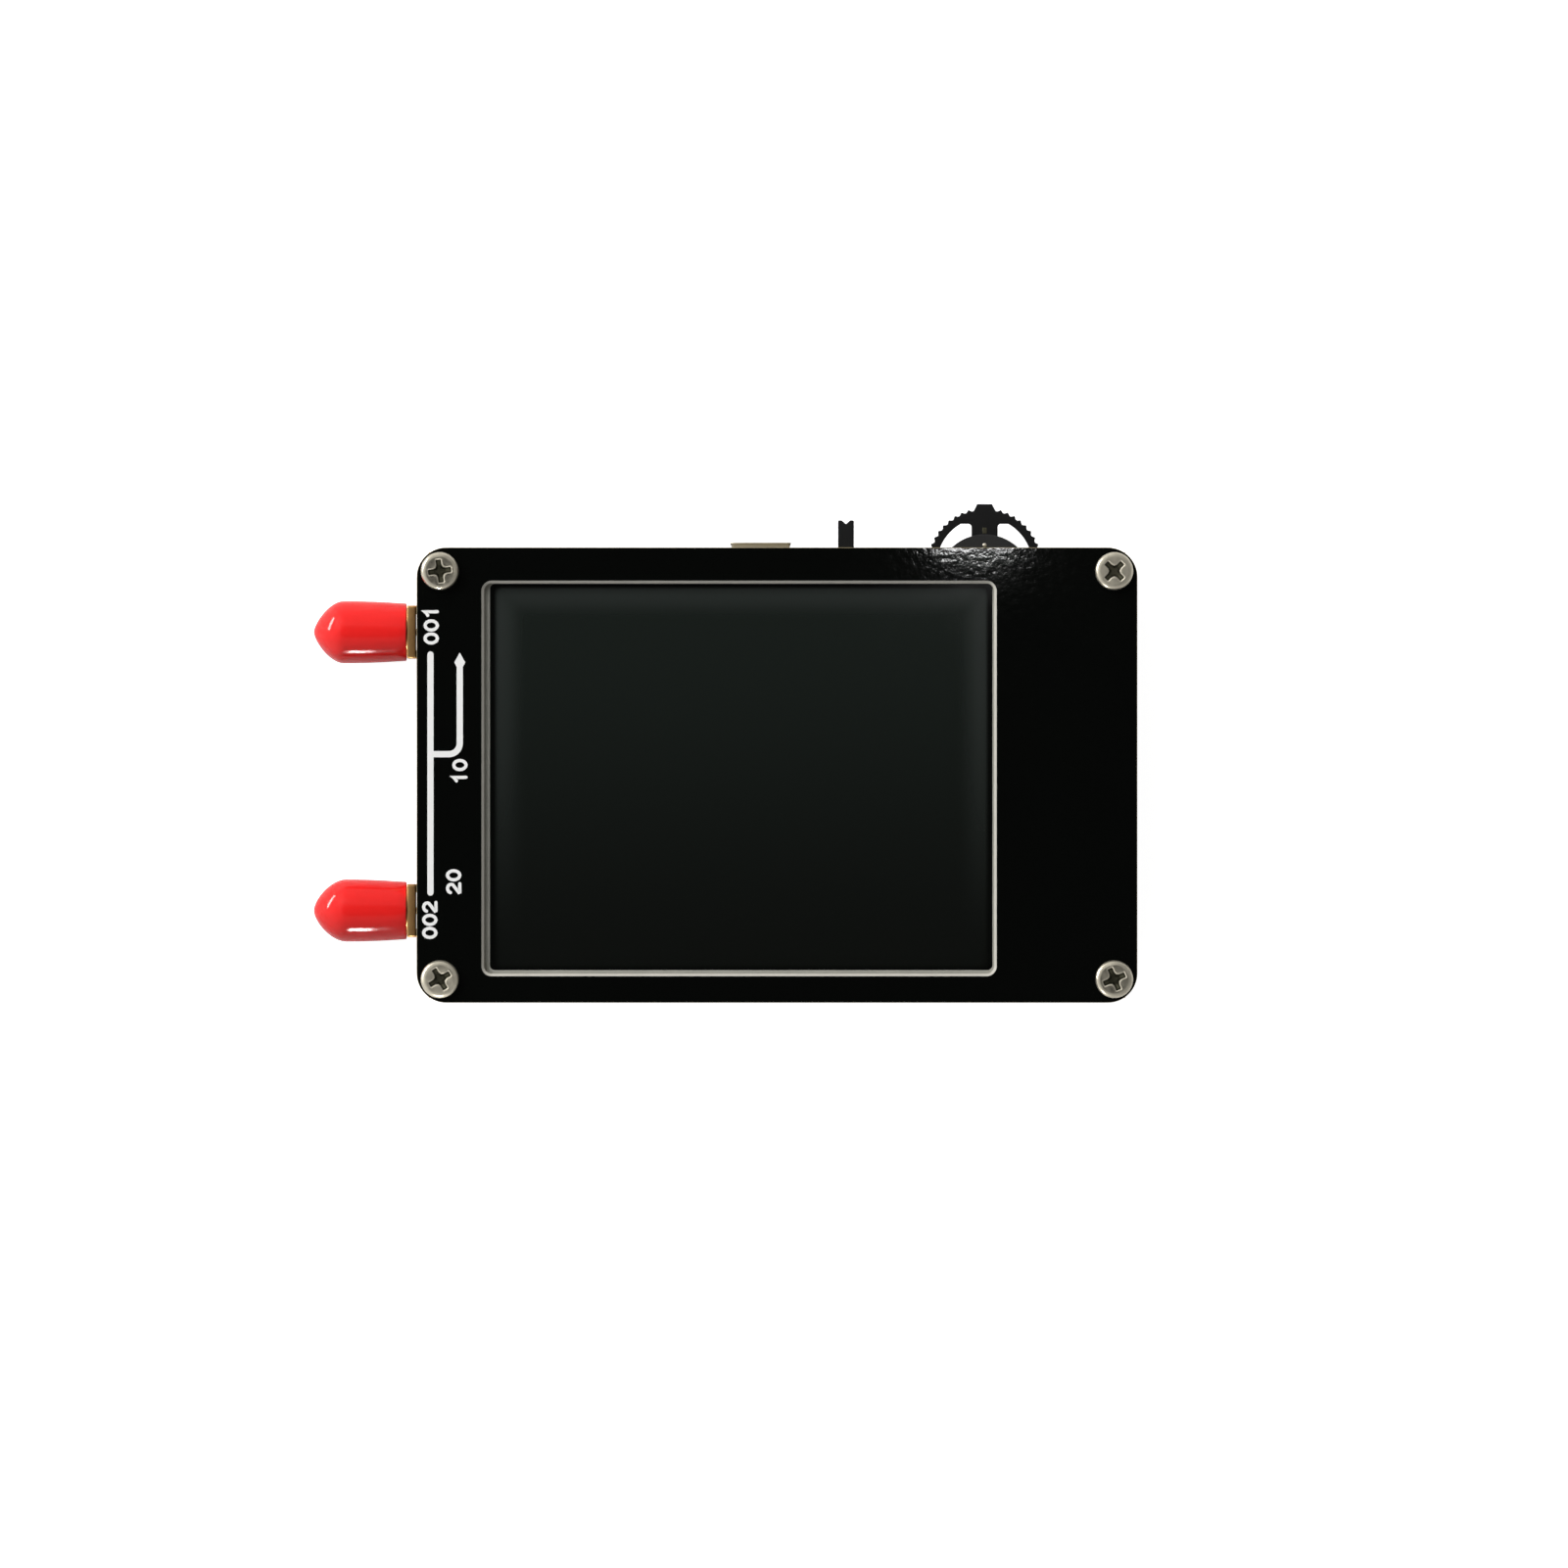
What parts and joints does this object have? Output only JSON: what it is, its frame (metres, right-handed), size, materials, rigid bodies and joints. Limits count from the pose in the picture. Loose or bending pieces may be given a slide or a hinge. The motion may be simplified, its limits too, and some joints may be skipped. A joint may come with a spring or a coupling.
{
  "type": "antenna analyzer",
  "caption": "Pocket antenna analyzer: stacked circuit boards on posts around a touch display, capped coaxial ports, USB socket, slide switch and jog wheel.",
  "frame": {"origin": "on the ground under the middle of the whole part, which lies on the heads of its rear screws", "axes": "+X along the long side, away from the coaxial ports; +Y towards the edge with the controls; +Z out of the display"},
  "size_m": [0.0978, 0.0592, 0.0136],
  "materials": {
    "board_black": "black solder mask, satin, with pale cut edges",
    "screw_steel": "nickel plated, bright",
    "post_brass": "turned brass",
    "jack_brass": "gold plated, polished",
    "insulator_white": "white fluoropolymer",
    "cap_red": "dipped soft vinyl, glossy red",
    "socket_steel": "tin plated folded sheet",
    "control_black": "moulded black plastic",
    "display_frame": "white moulded backlight frame",
    "display_glass": "unlit display behind its polariser",
    "touch_glass": "smooth clear film over a dark unlit display",
    "gasket_grey": "pale grey foam",
    "foam_tape": "black foam tape",
    "flex_amber": "amber flexible print with copper tracks",
    "battery_foil": "foil pouch with amber tape at its sealed end",
    "connector_white": "natural nylon",
    "lead_red": "red wire insulation",
    "lead_black": "black wire insulation",
    "shield_tin": "tin plated sheet",
    "chip_black": "moulded epoxy"
  },
  "bodies": {
    "analyzer": {"front_panel": "board_black", "main_board": "board_black", "rear_panel": "board_black", "front_post_1": "post_brass", "front_post_2": "post_brass", "front_post_3": "post_brass", "front_post_4": "post_brass", "rear_post_1": "post_brass", "rear_post_2": "post_brass", "rear_post_3": "post_brass", "rear_post_4": "post_brass", "front_screw_1": "screw_steel", "front_screw_2": "screw_steel", "front_screw_3": "screw_steel", "front_screw_4": "screw_steel", "rear_screw_1": "screw_steel", "rear_screw_2": "screw_steel", "rear_screw_3": "screw_steel", "rear_screw_4": "screw_steel", "display_tape_1": "foam_tape", "display_tape_2": "foam_tape", "display_tray": "display_frame", "display_glass": "display_glass", "touch_panel": "touch_glass", "display_gasket": "gasket_grey", "display_flex": "flex_amber", "port_1_jack": "jack_brass", "port_2_jack": "jack_brass", "port_1_insulator": "insulator_white", "port_2_insulator": "insulator_white", "port_1_contact": "jack_brass", "port_2_contact": "jack_brass", "usb_shell": "socket_steel", "usb_tongue": "control_black", "switch_base": "control_black", "switch_cover": "socket_steel", "jog_cover": "control_black", "jog_base": "control_black", "battery_cell": "battery_foil", "battery_tape": "foam_tape", "battery_plug": "connector_white", "battery_socket": "connector_white", "battery_lead_red": "lead_red", "battery_lead_black": "lead_black", "shield_can_1": "shield_tin", "shield_can_2": "shield_tin", "mixer_chip_1": "chip_black", "mixer_chip_2": "chip_black", "mixer_chip_3": "chip_black", "processor": "chip_black", "codec_chip": "chip_black", "clock_chip": "chip_black", "crystal": "shield_tin", "charger_chip": "chip_black", "regulator": "chip_black"},
    "power_slider": {"switch_lever": "control_black"},
    "jog_slider": {"jog_carrier": "socket_steel"},
    "jog_rocker": {"jog_wheel": "control_black"},
    "dust_cap_1": {"port_1_cap": "cap_red"},
    "dust_cap_2": {"port_2_cap": "cap_red"}
  },
  "joints": [
    {"name": "power_slide", "type": "slide", "parent": "analyzer", "child": "power_slider", "axis": [1, 0, 0], "range_m": [0, 0.002]},
    {"name": "jog_push", "type": "slide", "parent": "analyzer", "child": "jog_slider", "axis": [0, -1, 0], "range_m": [0, 0.0005], "stiffness_N_per_m": 1500},
    {"name": "jog_rock", "type": "hinge", "parent": "jog_slider", "child": "jog_rocker", "pos_m": [0.03087, 0.02233, 0.00445], "axis": [0, 0, 1], "range_deg": [-12, 12], "stiffness_Nm_per_rad": 0.02},
    {"name": "cap_1_pull", "type": "slide", "parent": "analyzer", "child": "dust_cap_1", "axis": [-1, 0, 0], "range_m": [0, 0.012]},
    {"name": "cap_2_pull", "type": "slide", "parent": "analyzer", "child": "dust_cap_2", "axis": [-1, 0, 0], "range_m": [0, 0.012]}
  ]
}
